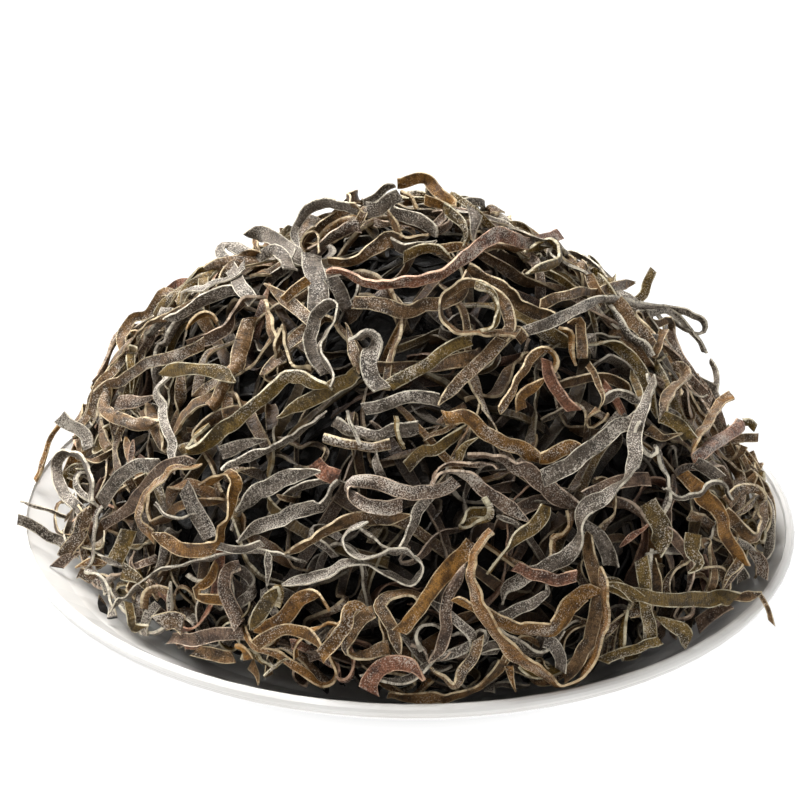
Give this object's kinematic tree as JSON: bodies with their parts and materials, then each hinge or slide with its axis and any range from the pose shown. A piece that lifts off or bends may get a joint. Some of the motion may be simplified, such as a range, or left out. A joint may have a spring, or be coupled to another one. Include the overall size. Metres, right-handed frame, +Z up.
{
  "type": "dried kelp strips on a plate",
  "caption": "Heap of dried shredded kelp strips, salt-dusted and tangled, on a shallow round white plate.",
  "frame": {"origin": "on the surface that the plate stands on, under the middle of the plate", "axes": "+Z up, -Y towards the front of the heap, +X to its right"},
  "size_m": [0.25, 0.25, 0.1366],
  "materials": {
    "porcelain": "gloss",
    "kelp": "matte"
  },
  "bodies": {
    "root": {"plate": "porcelain", "kelp_heap": "kelp"}
  },
  "joints": []
}
